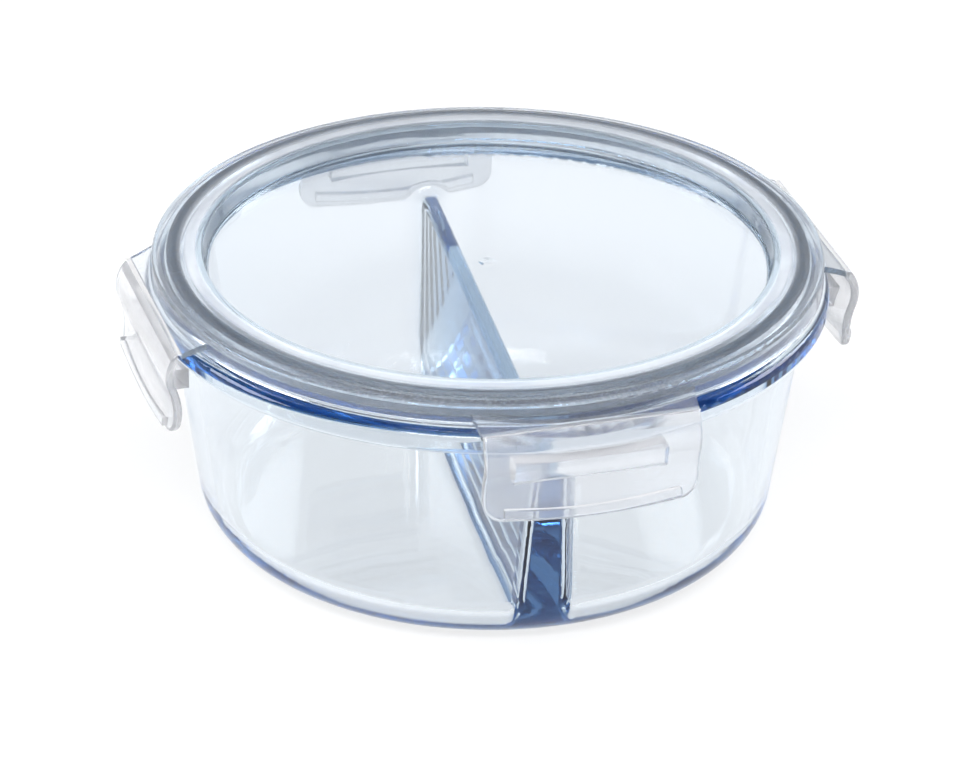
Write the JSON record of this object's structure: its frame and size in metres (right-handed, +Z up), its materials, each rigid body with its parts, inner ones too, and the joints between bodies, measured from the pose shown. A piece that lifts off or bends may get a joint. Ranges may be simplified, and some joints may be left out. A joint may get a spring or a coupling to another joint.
{
  "type": "glass food storage container",
  "caption": "Round clear glass food container with a moulded divider, and a clear lid with hinged side latches and a silicone seal.",
  "frame": {"origin": "centre of the flat face that the container stands on", "axes": "+Z up, +Y along the divider, +X across the two compartments"},
  "size_m": [0.1856, 0.1856, 0.0754],
  "materials": {
    "clear_glass": "polished, faintly blue where thick",
    "clear_lid": "clear gloss",
    "frosted_latch": "clear satin, faintly milky",
    "silicone": "matte"
  },
  "bodies": {
    "base": {"glass_base": "clear_glass"},
    "lid": {"lid": "clear_lid", "gasket": "silicone", "back_hinge_web": "frosted_latch", "left_hinge_web": "frosted_latch", "front_hinge_web": "frosted_latch", "right_hinge_web": "frosted_latch"},
    "back_latch": {"back_latch": "frosted_latch"},
    "left_latch": {"left_latch": "frosted_latch"},
    "front_latch": {"front_latch": "frosted_latch"},
    "right_latch": {"right_latch": "frosted_latch"}
  },
  "joints": [
    {"name": "lid_lift", "type": "slide", "parent": "base", "child": "lid", "axis": [0, 0, 1], "range_m": [0, 0.11]},
    {"name": "back_latch_swing", "type": "hinge", "parent": "lid", "child": "back_latch", "pos_m": [-0.00716, 0.08711, 0.0695], "axis": [0.9966, 0.0819, 0], "range_deg": [0, 120], "deforming": ["back_hinge_web"]},
    {"name": "left_latch_swing", "type": "hinge", "parent": "lid", "child": "left_latch", "pos_m": [-0.08711, -0.00716, 0.0695], "axis": [-0.0819, 0.9966, 0], "range_deg": [0, 120], "deforming": ["left_hinge_web"]},
    {"name": "front_latch_swing", "type": "hinge", "parent": "lid", "child": "front_latch", "pos_m": [0.00716, -0.08711, 0.0695], "axis": [-0.9966, -0.0819, 0], "range_deg": [0, 120], "deforming": ["front_hinge_web"]},
    {"name": "right_latch_swing", "type": "hinge", "parent": "lid", "child": "right_latch", "pos_m": [0.08711, 0.00716, 0.0695], "axis": [0.0819, -0.9966, 0], "range_deg": [0, 120], "deforming": ["right_hinge_web"]}
  ]
}
